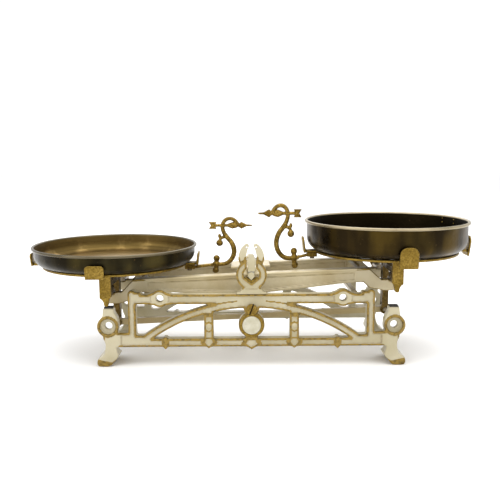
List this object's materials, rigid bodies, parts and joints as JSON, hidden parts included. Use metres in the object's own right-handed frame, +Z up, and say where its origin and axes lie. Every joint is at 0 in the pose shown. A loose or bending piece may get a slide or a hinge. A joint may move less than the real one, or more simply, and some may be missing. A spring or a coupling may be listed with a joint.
{
  "type": "balance scale",
  "caption": "Roberval counter scale: open-work cast frame, double beam on knife edges, lower stay, swan-neck pointers and two lift-off round pans.",
  "frame": {"origin": "on the table under the middle of the scale, half way between the two frame castings", "axes": "+X to the right along the beam, +Y to the back, +Z up; the front frame faces -Y and the shallow pan is on the -X side"},
  "size_m": [0.6489, 0.25, 0.2197],
  "materials": {
    "enamel": "aged cream gloss paint on cast iron",
    "gold_paint": "gold bronze paint on cast iron",
    "dark_bronze": "dark antique bronze",
    "steel": "ground steel, slightly dulled",
    "pan_brass": "brass with a dark brown patina",
    "felt": "black leather-rubber stop pad",
    "medallion": "white enamel"
  },
  "bodies": {
    "base": {"frame_front": "enamel", "frame_rear": "enamel", "fulcrum_stand_front": "enamel", "fulcrum_stand_rear": "enamel", "fulcrum_bearing_front": "steel", "fulcrum_bearing_rear": "steel", "knife_keeper_front": "enamel", "tie_screw_front": "gold_paint", "tie_screw_rear": "gold_paint", "medallion_rim_front": "gold_paint", "medallion_rim_rear": "gold_paint", "medallion_disc_front": "medallion", "medallion_disc_rear": "medallion", "stop_pad_right_front": "felt", "stop_pad_right_rear": "felt", "stop_pad_left_front": "felt", "stop_pad_left_rear": "felt", "frame_tie_right": "enamel", "frame_tie_left": "enamel", "centre_tie_rod": "steel", "stay_pivot_rod": "steel"},
    "beam_body": {"beam": "enamel", "centre_knife_front": "steel", "centre_knife_rear": "steel", "load_knife_right_front": "steel", "load_knife_right_rear": "steel", "load_knife_left_front": "steel", "load_knife_left_rear": "steel"},
    "stay_body": {"stay": "enamel", "stay_pin_right": "steel", "stay_pin_left": "steel"},
    "left_carrier": {"left_cross": "gold_paint", "left_leg_front": "gold_paint", "left_leg_rear": "gold_paint", "left_yoke": "dark_bronze", "left_load_bearing_front": "steel", "left_load_bearing_rear": "steel", "left_stem": "dark_bronze", "left_pointer": "dark_bronze", "left_pointer_screw": "steel"},
    "right_carrier": {"right_cross": "gold_paint", "right_leg_front": "gold_paint", "right_leg_rear": "gold_paint", "right_yoke": "dark_bronze", "right_load_bearing_front": "steel", "right_load_bearing_rear": "steel", "right_stem": "dark_bronze", "right_pointer": "dark_bronze", "right_pointer_screw": "steel"},
    "left_dish": {"left_pan": "pan_brass"},
    "right_dish": {"right_pan": "pan_brass"}
  },
  "joints": [
    {"name": "beam_tilt", "type": "hinge", "parent": "base", "child": "beam_body", "pos_m": [0, 0, 0.121], "axis": [0, 1, 0], "range_deg": [0, 5.1]},
    {"name": "stay_tilt", "type": "hinge", "parent": "base", "child": "stay_body", "pos_m": [0, 0, 0.0586], "axis": [0, 1, 0], "range_deg": [0, 5.1]},
    {"name": "left_carrier_level", "type": "hinge", "parent": "beam_body", "child": "left_carrier", "pos_m": [-0.1995, 0, 0.10528], "axis": [0, 1, 0], "range_deg": [-5.1, 0]},
    {"name": "right_carrier_level", "type": "hinge", "parent": "beam_body", "child": "right_carrier", "pos_m": [0.20011, 0, 0.12273], "axis": [0, 1, 0], "range_deg": [-5.1, 0]},
    {"name": "left_pan_lift", "type": "slide", "parent": "left_carrier", "child": "left_dish", "axis": [0, 0, 1], "range_m": [0, 0.1]},
    {"name": "right_pan_lift", "type": "slide", "parent": "right_carrier", "child": "right_dish", "axis": [0, 0, 1], "range_m": [0, 0.1]}
  ],
  "couplings": [
    {"joint": "stay_tilt", "follows": "beam_tilt", "ratio": 1},
    {"joint": "left_carrier_level", "follows": "beam_tilt", "ratio": -1},
    {"joint": "right_carrier_level", "follows": "beam_tilt", "ratio": -1}
  ]
}
